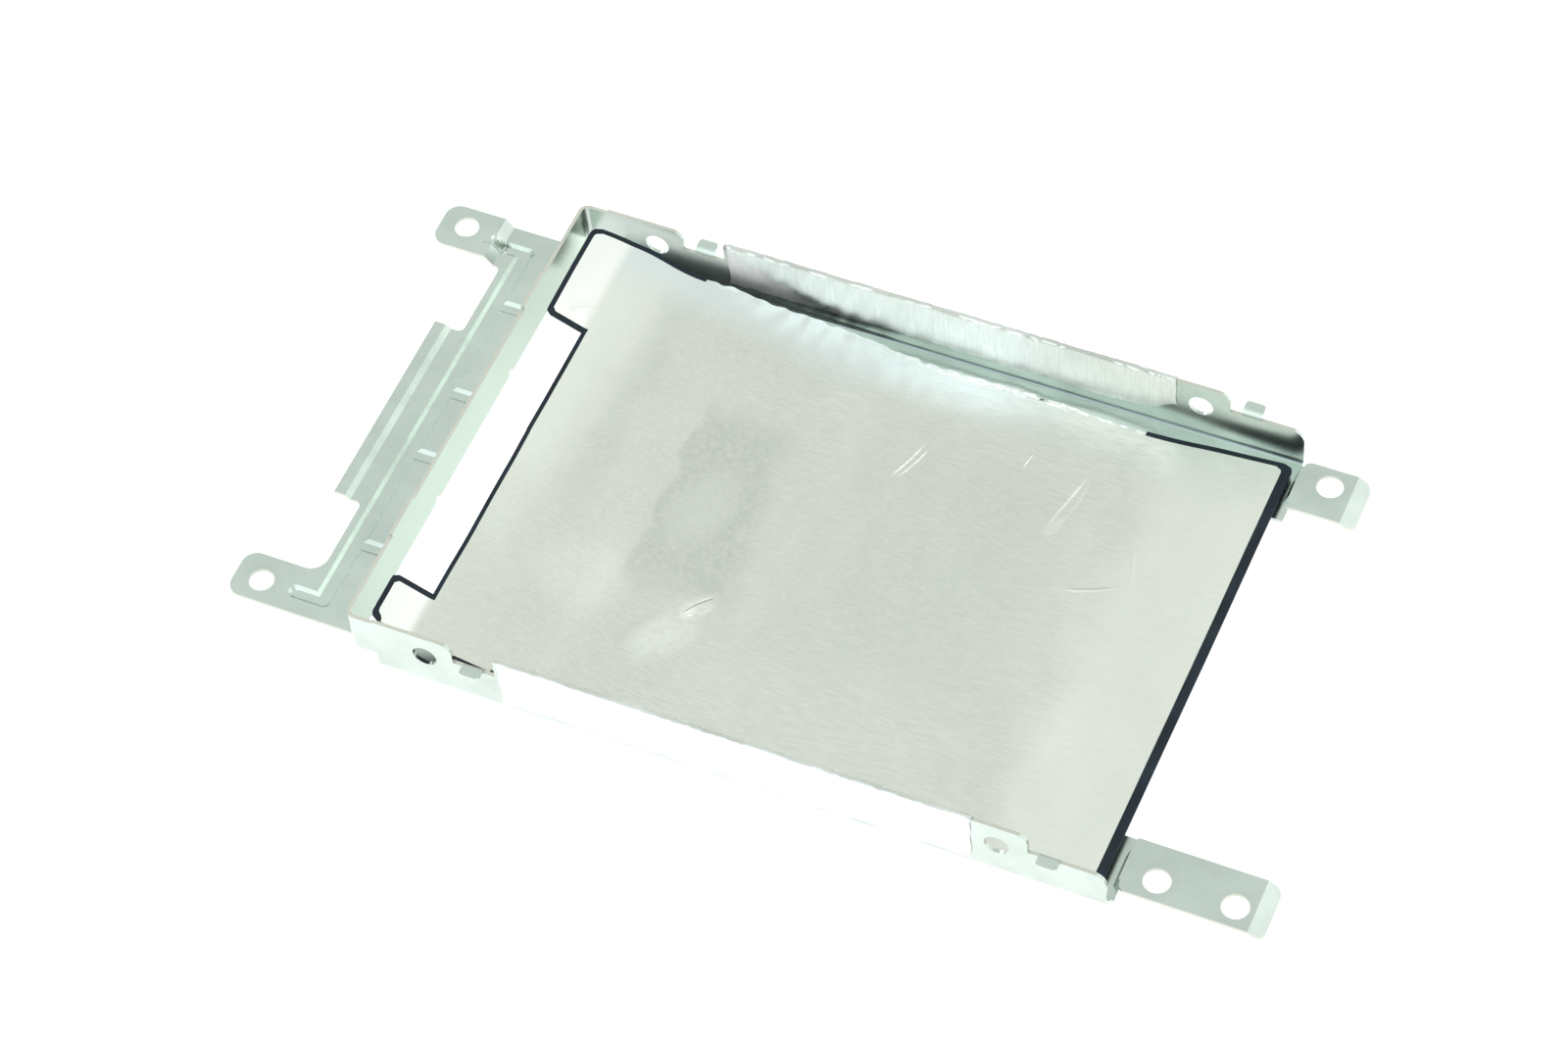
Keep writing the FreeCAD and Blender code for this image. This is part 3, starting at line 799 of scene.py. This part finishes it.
@dataclass
class Liner:
    """Film and foil that lie on the floor flanges and rise in an easy curve to the end wall."""

    shift: float = WALL_TO_ORIGIN
    floor: float = 0.5
    lift: float = 6.9
    fold_high: float = 14.2
    fold_low: float = 34.5
    bend: float = 62.0
    start: float = 2.25
    stop: float = 100.1
    near: float = -34.4
    far: float = 33.4
    corner: float = 1.3
    notch_corner: float = 0.75
    border: float = 0.8
    border_near: float = 0.1
    border_left: float = 0.75
    border_notch: float = 0.65
    border_end: float = 1.3
    foil_sharper: float = 0.3
    corner_run: float = 3.0
    tuck: float = 0.4
    tuck_start: float = 18.9
    tuck_stop: float = 80.6
    notch: float = 7.8
    notch_near: float = -27.4
    notch_far: float = 16.9
    film_gauge: float = 0.2
    foil_gauge: float = 0.1
    bond: float = 0.01
    skew: float = 0.35
    uneven: tuple[tuple[float, float, int], ...] = ((0.10, 26.0, 5), (0.025, 9.0, 6))
    fold_line: float = 34.0
    fold_slope: float = 0.07
    fold_wander: float = 1.2
    fold_wave: float = 30.0
    fold_rounding: float = 1.0
    edge_lift: float = 0.8
    edge_drift: float = 0.55
    edge_middle: float = -12.8
    edge_reach: float = 8.5
    near_reach: float = 0.5
    edge_start: float = 15.0
    far_drifts: tuple[tuple[float, float, float], ...] = ((1.0, -33.5, 5.5), (0.6, 30.0, 9.0), (0.6, -48.0, 4.0))
    drift_start: float = 18.0
    drift_run: float = 15.0
    near_start: float = -20.0
    near_run: float = 14.0
    ripple_start: float = -28.0
    ripple_stop: float = 8.0
    ripple_row: float = 27.5
    ripple_length: float = 3.9
    ripple_height: float = 0.15
    ripple_fades: tuple[float, float, float] = (8.0, 9.0, 4.0)
    lying_start: float = -12.0
    lying_run: float = 8.0
    flange_edge: float = 28.5
    flange_run: float = 3.0
    hem_height: float = 0.10
    hem_length: float = 2.6
    hem_reach: float = 1.3
    hem_run: float = 1.2
    tuck_run: float = 2.0
    curl: float = 0.05
    tab_line: float = -42.4
    tab_slope: float = 0.40
    tab_rounding: tuple[float, float] = (0.05, 0.8)
    tab_far: tuple[float, float] = (1.2, 0.45)
    step: float = 0.45
    creases: tuple[Crease, ...] = (
        Crease((23.8, 13.0), (26.2, 23.5), 0.9, 0.10, -0.7),
        Crease((28.8, 5.6), (36.2, 8.7), 0.8, 0.07, -0.6),
        Crease((40.9, 2.5), (45.5, 9.1), 1.0, 0.05, 0.3),
        Crease((-14.8, -16.5), (-10.8, -10.6), 0.8, -0.36, 0.2),
        Crease((-44.6, 18.9), (-41.4, 21.2), 0.8, 0.12, 0.5),
        Crease((-43.4, 19.6), (-41.6, 17.4), 0.7, -0.1, 0.2),
        Crease((-41.0, 15.5), (-38.6, 20.5), 1.0, 0.10, 0.4),
        Crease((-38.0, -6.5), (-31.5, -5.2), 1.0, 0.10, 0.3),
    )
    dents: tuple[Dent, ...] = (
        Dent((-12.9, -13.6), (3.2, 1.9), 0.62, 0.85),
        Dent((-15.0, -19.6), (2.4, 5.0), 0.50, -0.45),
        Dent((-18.5, -0.5), (3.8, 6.5), 0.26, -0.2),
        Dent((-40.0, -12.0), (3.5, 6.0), 0.25, 0.0),
        Dent((30.5, 14.5), (6.0, 8.0), 0.20, 0.3),
        Dent((12.0, -16.0), (14.0, 9.0), -0.20, 0.2),
    )

    def path(self, x: Array) -> Array:
        """Lower face in side view: flat, an arc down, a straight slope, an arc out, then flat on the flanges.

        Args:
            x: positions along X, from the end wall.
        Returns:
            Height at each position.
        """
        slope = math.atan2(self.lift, self.fold_low - self.fold_high)
        reach = self.bend * math.tan(slope / 2)
        top, foot = self.fold_high - reach, self.fold_low + reach
        over = np.clip(x - top, 0.0, self.bend * math.sin(slope))
        under = np.clip(foot - x, 0.0, self.bend * math.sin(slope))
        upper = self.floor + self.lift - (self.bend - np.sqrt(self.bend**2 - over**2))
        lower = self.floor + self.bend - np.sqrt(self.bend**2 - under**2)
        middle = (self.fold_high + self.fold_low) / 2
        straight = self.floor + self.lift / 2 - (x - middle) * math.tan(slope)
        inside = (x > top + self.bend * math.sin(slope)) & (x < foot - self.bend * math.sin(slope))
        return np.where(inside, straight, np.where(x < middle, upper, lower))

    def relief(self, x: Array, y: Array) -> Array:
        """Handling marks: creases, dents, unevenness, a long fold, bent-up tabs, a lifted far edge and ripples.

        Args:
            x: positions along X in the model frame.
            y: positions along Y.
        Returns:
            Height to add, never below the flanges at the sides.
        """
        total = sum(mark.relief(x, y) for mark in (*self.creases, *self.dents))
        total = total + sum(height * waves(x, y, length, seed) for height, length, seed in self.uneven)
        past = x - self.fold_line + self.fold_wander * waves(y, 0.0, self.fold_wave, 12)
        total = total + self.fold_slope * soft_ramp(past, self.fold_rounding)
        rounding = np.where(y < 0.0, *self.tab_rounding)
        total = total + self.tab_lean(y) * soft_ramp(self.tab_line - x, rounding)
        edge = np.clip((y - self.edge_start) / (self.far - self.edge_start), 0.0, 1.0) ** 2
        total = total + self.edge_lift * edge * bell(x - self.edge_middle, self.edge_reach)
        left, right, inner = self.ripple_fades
        spread = ease((x - self.ripple_start) / left) * ease((self.ripple_stop - x) / right)
        phase = x * 2.0 * math.pi / self.ripple_length + waves(x, y, 15.0, 8)
        total = total + spread * ease((y - self.ripple_row) / inner) * self.ripple_height * np.sin(phase)
        lying = ease((x - self.lying_start) / self.lying_run)
        held = 1.0 - lying * ease((np.abs(y) - self.flange_edge) / self.flange_run)
        return np.where(total < 0.0, total * held, total)

    def tab_lean(self, y: Array) -> Array:
        """Slope of the bent-up end tabs: even on the near one, easing off outward on the far one.

        Args:
            y: positions along Y.
        Returns:
            Rise per millimetre towards the end wall.
        """
        outward = np.clip((y - self.notch_far) / (self.far - self.notch_far), 0.0, 1.0)
        return self.tab_slope * np.where(y < 0.0, 1.0, self.tab_far[0] - self.tab_far[1] * outward)

    def wander(self, x: Array, y: Array) -> Array:
        """Sideways drift of the edges: four bells along X at the far one, and an even shift of the near one.

        Args:
            x: positions along X in the model frame.
            y: positions along Y.
        Returns:
            Shift along Y.
        """
        inward = sum(height * bell(x - middle, reach) for height, middle, reach in self.far_drifts)
        inward = inward - self.edge_drift * bell(x - self.edge_middle, self.edge_reach)
        far = -inward * ease((y - self.drift_start) / self.drift_run)
        return far - self.near_reach * ease((self.near_start - y) / self.near_run)

    @staticmethod
    def corner_inset(depth: Array, turn: float) -> Array:
        """Inset of an edge near its corner: the sagitta of the corner's arc.

        Args:
            depth: distance from the other edge of the corner.
            turn: radius of the corner.
        Returns:
            Inset, 0 beyond the radius.
        """
        inside = np.clip(turn - depth, 0.0, turn)
        return turn - np.sqrt(turn**2 - inside**2)

    def plan(self, layer: Layer, x: Array, y: Array) -> Array:
        """Cells of the grid that the layer covers.

        Args:
            layer: film or foil.
            x: cell middles along X, from the end wall.
            y: cell middles along Y.
        Returns:
            True where the layer lies.
        """
        trim = 1.0 if layer is Layer.FOIL else 0.0
        between = (x > self.tuck_start) & (x < self.tuck_stop)
        low = self.near + np.where(between, self.tuck, self.border_near * trim)
        high = self.far - np.where(between, self.tuck, self.border * trim)
        notch = (x < self.notch + self.border_notch * trim) & (y > self.notch_near - self.border * trim)
        return (y > low) & (y < high) & ~(notch & (y < self.notch_far + self.border * trim))

    def surface(self, layer: Layer) -> tuple[Array, Array]:
        """Grid of one layer with rounded corners, a skewed open end and ragged tucked edges.

        Args:
            layer: film or foil.
        Returns:
            Points in millimetres and the quads that the layer covers.
        """
        trim = 1.0 if layer is Layer.FOIL else 0.0
        border = self.border * trim
        start, stop = self.start + self.border_left * trim, self.stop - self.border_end * trim
        notch = self.notch + self.border_notch * trim
        columns = stations((start, notch, self.tuck_start, self.tuck_stop, stop), self.step)
        near = sorted((self.near + self.border_near * trim, self.near + self.tuck))
        far = sorted((self.far - border, self.far - self.tuck))
        rows = stations((*near, self.notch_near - border, self.notch_far + border, *far), self.step)
        x, y = np.meshgrid(columns, rows)
        cells = self.plan(layer, (x[:-1, :-1] + x[1:, 1:]) / 2, (y[:-1, :-1] + y[1:, 1:]) / 2)
        turn = self.corner - border / 2
        outer = np.minimum(y - self.near, self.far - y) - border
        tab = np.where(y > 0.0, y - self.notch_far, self.notch_near - y) - border
        sharp = self.notch_corner - self.foil_sharper * trim
        rounded = np.maximum(self.corner_inset(outer, turn), self.corner_inset(tab, sharp))
        left = rounded * (1.0 - ease((x - start) / (self.corner_run * turn)))
        right = self.corner_inset(outer, turn) * (1.0 - ease((stop - x) / (self.corner_run * turn)))
        open_end = ease((x - self.tuck_stop) / (stop - self.tuck_stop))
        plan_x = x + left - right + self.skew * y / self.far * open_end
        model_x = plan_x - self.shift
        short = np.clip(self.tab_line - model_x, 0.0, None)
        model_x = model_x + short * (1.0 - 1.0 / np.sqrt(1.0 + self.tab_lean(y) ** 2))
        hem = np.minimum(y - near[0], far[1] - y)
        tucked = ease((x - self.tuck_start) / self.tuck_run) * ease((self.tuck_stop - x) / self.tuck_run)
        ragged = ease((self.hem_reach - hem) / self.hem_run) * tucked
        torn = ragged * self.hem_height * waves(x, np.sign(y) * 40.0, self.hem_length, 3)
        plan_y = y + np.sign(y) * torn + self.wander(model_x, y)
        rise = 0.0 if layer is Layer.FILM else self.film_gauge + self.bond
        curl = trim * ragged * self.curl * (1.0 + waves(x, y, 2.2, 9))
        z = self.path(plan_x) + self.relief(model_x, plan_y) + rise + curl
        quads = grid_faces(*x.shape)[cells.reshape(-1)]
        return np.stack((model_x, plan_y, z), axis=-1).reshape(-1, 3), quads

    def build(self, film: bpy.types.Material, foil: bpy.types.Material) -> list[bpy.types.Object]:
        """Builds both layers and dresses them.

        Args:
            film: finish of the film.
            foil: finish of the foil.
        Returns:
            The two pieces.
        """
        pieces = []
        for layer, name, node, slot, gauge, material in (
            (Layer.FILM, "liner_film", "insulator_film", "black_film", self.film_gauge, film),
            (Layer.FOIL, "liner_foil", "shield_foil", "shield_foil", self.foil_gauge, foil),
        ):
            piece = make_piece(name, *self.surface(layer), gauge, material)
            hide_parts(node)
            pieces.append(piece)
        return pieces


@dataclass
class WallStrip:
    """Foil strip pressed over the top of one side wall, with crinkled edges."""

    side: Side
    shift: float = WALL_TO_ORIGIN
    inner: float = 35.2
    outer: float = 35.7
    top: float = 9.8
    start: float = 20.8
    stop: float = 83.6
    inside_reach: float = 7.4
    low: float = 1.2
    skin: float = 0.08
    turn: float = 0.12
    inside_trim: float = 0.3
    outside_trim: float = 0.25
    hem: float = 0.15
    hem_lengths: tuple[float, float] = (9.0, 6.0)
    nicks: float = 0.05
    nick_length: float = 2.0
    end_rise: float = 2.4
    end_run: float = 5.0
    end_wave: float = 0.09
    end_fade: float = 4.0
    clear: float = 0.02
    crinkles: float = 0.03
    swells: float = 0.02
    grain: float = 0.003
    crown_reach: float = 1.1
    rows: int = 61
    step: float = 0.3

    def profile(self, along: Array) -> tuple[Array, Array, Array, Array]:
        """Path round the wall's top: up the inner face, over the edge and down the outer face.

        Args:
            along: distance along the path, with 0 at the middle of the top.
        Returns:
            Y, Z and the two parts of the outward direction.
        """
        middle = (self.inner + self.outer) / 2
        flat = (self.outer - self.inner) / 2
        arc = self.turn * math.pi / 2
        reach = np.abs(along)
        sign = np.sign(along)
        angle = np.clip((reach - flat) / arc, 0.0, 1.0) * math.pi / 2
        level = np.clip(reach, 0.0, flat)
        drop = np.clip(reach - flat - arc, 0.0, None)
        y = middle + sign * (level + self.turn * np.sin(angle))
        z = self.top + self.turn * np.cos(angle) - drop
        return y, z, sign * np.sin(angle), np.cos(angle)

    def surface(self) -> tuple[Array, Array]:
        """Grid along the wall and round its top, with ragged ends and crinkles that only stand outward.

        Returns:
            Points in millimetres and quads.
        """
        seed = 20 if self.side is Side.FAR else 40
        x, share = np.meshgrid(stations((self.start, self.stop), self.step), np.linspace(0.0, 1.0, self.rows))
        bend = (self.outer - self.inner) / 2 + self.turn * math.pi / 2
        hem = self.hem * waves(x, 0.0, self.hem_lengths[0], seed)
        hem = hem + self.nicks * waves(x, 0.0, self.nick_length, seed + 1)
        end = ease((x - self.stop + self.end_run) / self.end_run)
        inside = bend + self.inside_reach - self.inside_trim + hem - self.end_rise * end * end
        outer_hem = self.hem * waves(x, 9.0, self.hem_lengths[1], seed + 2)
        outside = bend + self.top - self.low - self.outside_trim - outer_hem
        along = share * (outside + inside) - inside
        y, z, out_y, out_z = self.profile(along)
        crinkle = bell(along, self.crown_reach) * (0.5 + 0.5 * np.tanh(waves(x, along, 2.6, seed + 3)))
        swell = 0.5 + 0.5 * np.tanh(waves(x, along * 0.45, 5.0, seed + 4))
        grain = 1.0 + waves(x, along * 0.2, 0.9, seed + 5)
        lift = self.clear + self.crinkles * crinkle + self.swells * swell + self.grain * grain
        ends = self.end_wave * waves(along, 0.0, 4.0, seed + 6)
        fade = 1.0 - ease((x - self.start) / self.end_fade) + ease((x - self.stop + self.end_fade) / self.end_fade)
        points = np.stack((
            x + ends * fade - self.shift,
            self.side.value * (y + out_y * lift),
            z + out_z * lift,
        ), axis=-1).reshape(-1, 3)
        quads = grid_faces(*x.shape)
        return points, quads if self.side is Side.NEAR else quads[:, ::-1]

    def build(self, material: bpy.types.Material) -> bpy.types.Object:
        """Builds the strip and dresses it.

        Args:
            material: finish of the strip.
        Returns:
            The piece.
        """
        word = self.side.name.lower()
        piece = make_piece(f"wall_strip_{word}", *self.surface(), self.skin, material)
        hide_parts(f"wall_foil_{word}")
        return piece


@dataclass
class EarBead:
    """Bead pressed across the raised ear's step: a small dome on the slope, down to the channel's floor."""

    shift: float = WALL_TO_ORIGIN
    foot: float = -10.4
    crest: float = -11.5
    low: float = 2.5
    rise: float = 1.4
    middle: float = 30.1
    centre: float = -11.45
    reach: tuple[float, float] = (1.35, 1.0)
    nose: float = -11.0
    dome: float = 0.42
    dome_reach: tuple[float, float] = (0.5, 0.45)
    sink: float = 0.38
    sink_start: float = 0.35
    sink_run: float = 0.5
    sink_half: float = 0.62
    sink_wall: float = 0.17
    clear: float = 0.02
    skin: float = 0.05
    lines: int = 61

    def surface(self) -> tuple[Array, Array]:
        """Patch on the step's profile: a straight rise from foot to crest, a bell for the dome and a sunk end.

        Returns:
            Points in millimetres and quads.
        """
        u, v = np.meshgrid(*[np.linspace(-1.0, 1.0, self.lines)] * 2)
        x = self.centre + u * self.reach[0]
        y = v * self.reach[1]
        step = self.low + self.rise * np.clip((self.foot - x) / (self.foot - self.crest), 0.0, 1.0)
        dome = self.dome * bell(x - self.nose, self.dome_reach[0]) * bell(y, self.dome_reach[1])
        past_foot = ease((x - self.foot + self.sink_start) / self.sink_run)
        sunk = self.sink * past_foot * ease((self.sink_half - np.abs(y)) / self.sink_wall)
        z = step + self.clear + dome - sunk
        points = np.stack((x - self.shift, y + self.middle, z), axis=-1).reshape(-1, 3)
        return points, grid_faces(*x.shape)

    def build(self, material: bpy.types.Material) -> bpy.types.Object:
        """Builds the bead and dresses it.

        Args:
            material: finish of the sheet.
        Returns:
            The piece.
        """
        piece = make_piece("ear_bead", *self.surface(), self.skin, material)
        return piece


@dataclass
class FoldedFrame:
    """The folded steel frame, which stays as its CAD solid."""

    node: str = "caddy_frame"

    def dress(self, nodes: dict[str, bpy.types.Object], material: bpy.types.Material) -> bpy.types.Object:
        """Gives the frame its metal.

        Args:
            nodes: CAD nodes by name.
            material: finish of the sheet.
        Returns:
            The frame's object.
        """
        frame = nodes[self.node]
        frame.data.materials.clear()
        frame.data.materials.append(material)
        return frame


@dataclass
class PhotoCamera:
    """Camera at the photograph's viewing angle, solved from the caddy's own holes."""

    focal: float = 4564.628
    azimuth: float = 27.805
    elevation: float = 53.738
    roll: float = -5.636
    aim: tuple[float, float, float] = (0.05, -0.2, 2.1)
    offset: tuple[float, float, float] = (-6.122, 3.758, 568.093)
    sensor: float = 36.0
    clip_start: float = 0.01

    def build(self) -> None:
        """Makes the camera and sets it as the scene's own."""
        azimuth, elevation, roll = (math.radians(v) for v in (self.azimuth, self.elevation, self.roll))
        right = Vector((math.cos(azimuth), math.sin(azimuth), 0.0))
        level = Vector((math.sin(azimuth), -math.cos(azimuth), 0.0))
        back = level * math.cos(elevation) + Vector((0.0, 0.0, math.sin(elevation)))
        up = back.cross(right)
        turned = right * math.cos(roll) + up * math.sin(roll)
        upward = up * math.cos(roll) - right * math.sin(roll)
        axes = Matrix((turned, upward, back)).transposed()
        place = Vector(self.aim) + axes @ Vector(self.offset)
        data = bpy.data.cameras.new("photo_camera")
        data.sensor_fit = "HORIZONTAL"
        data.sensor_width = self.sensor
        data.lens = self.focal * self.sensor / IMAGE_WIDTH
        data.clip_start = self.clip_start
        camera = bpy.data.objects.new("photo_camera", data)
        camera.matrix_world = Matrix.Translation(place * MM) @ axes.to_4x4()
        bpy.context.scene.collection.objects.link(camera)
        bpy.context.scene.camera = camera


@dataclass(frozen=True)
class Lobe:
    """A soft bright part of the sky: its direction, the cosines where it starts and is full, and its light."""

    way: tuple[float, float, float]
    fade: tuple[float, float]
    glow: Colour

    def share(self, shader: Shader, way: Signal) -> Signal:
        """0 outside the lobe and 1 in its middle.

        Args:
            shader: tree to add to.
            way: direction of view.
        Returns:
            The lobe's share.
        """
        settings = {"operation": "DOT_PRODUCT"}
        return shader.node("ShaderNodeVectorMath", settings, {0: way, 1: self.way}, "Value").step(*self.fade)


@dataclass
class Studio:
    """White floor under an even bright sky that darkens low on the camera's side, with four soft boxes."""

    reach: float = 1500.0
    drop: float = 0.02
    dark: Colour = (0.10, 0.21, 0.26)
    even: Lobe = Lobe((-0.10, 0.55, 0.83), (-0.90, -0.20), (0.82, 0.765, 0.68))
    boxes: tuple[Lobe, ...] = (
        Lobe((-0.15, -0.62, 0.77), (0.80, 0.94), (0.58, 0.66, 0.70)),
        Lobe((0.75, 0.52, 0.40), (0.80, 0.95), (0.45, 0.45, 0.45)),
        Lobe((-0.70, 0.50, 0.51), (0.972, 0.993), (2.5, 2.5, 2.5)),
        Lobe((-0.27, 0.10, 0.957), (0.94, 0.99), (0.12, 0.16, 0.18)),
    )

    def build_floor(self) -> None:
        """Lays the floor just under the caddy."""
        corners = np.array([(-1, -1, 0), (1, -1, 0), (1, 1, 0), (-1, 1, 0)], float) * self.reach
        corners[:, 2] = -self.drop
        mesh = bpy.data.meshes.new("floor")
        mesh.from_pydata((corners * MM).tolist(), [], [(0, 1, 2, 3)])
        mesh.materials.append(FloorFinish().material())
        floor = bpy.data.objects.new("floor", mesh)
        bpy.context.scene.collection.objects.link(floor)

    def build_sky(self) -> None:
        """Lights the scene from all round with one soft gradient and the boxes' lobes."""
        world = bpy.data.worlds.new("studio")
        world.use_nodes = True
        bpy.context.scene.world = world
        shader = Shader(world.node_tree)
        way = shader.node("ShaderNodeTexCoord", {}, {}, "Generated")
        colour: Colour | Signal = self.dark
        for lobe in (self.even, *self.boxes):
            colour = shader.mix(lobe.share(shader, way), colour, lobe.glow, "ADD")
        glow = shader.node("ShaderNodeBackground", {}, {"Color": colour, "Strength": 1.0})
        shader.node("ShaderNodeOutputWorld", {}, {"Surface": glow})

    def build(self) -> None:
        """Builds floor and sky, and shows colours as they are."""
        self.build_floor()
        self.build_sky()
        bpy.context.scene.view_settings.view_transform = "Standard"


def main() -> None:
    """Builds the dressed caddy, its camera and its studio."""
    logging.basicConfig(level=logging.INFO, format="%(name)s: %(message)s")
    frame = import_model()
    PhotoCamera().build()
    Studio().build()
    steel = SteelFinish().material()
    film = FilmFinish().material()
    foil = FoilFinish(
        "shield_foil", light=(0.73, 0.73, 0.67), dull=(0.605, 0.615, 0.565), painted_shade=(0.57, 0.585, 0.54),
        line_lengths=(2.2, 0.30, 0.30), scratches=SCRATCHES, spots=SHEEN_SPOTS,
    ).material()
    strip = FoilFinish(
        "wall_foil", light=(0.92, 0.93, 0.91), dull=(0.80, 0.82, 0.80), painted_shade=(0.52, 0.54, 0.50),
        line_lengths=(0.35, 0.35, 4.0), crown=9.86,
    ).material()
    pieces = [FoldedFrame().dress(frame["nodes"], steel), EarBead().build(steel), *Liner().build(film, foil)]
    pieces += [WallStrip(side).build(strip) for side in Side]
    for piece in pieces:
        LOG.info("%s: %d faces", piece.name, len(piece.data.polygons))


if __name__ == "__main__":
    main()
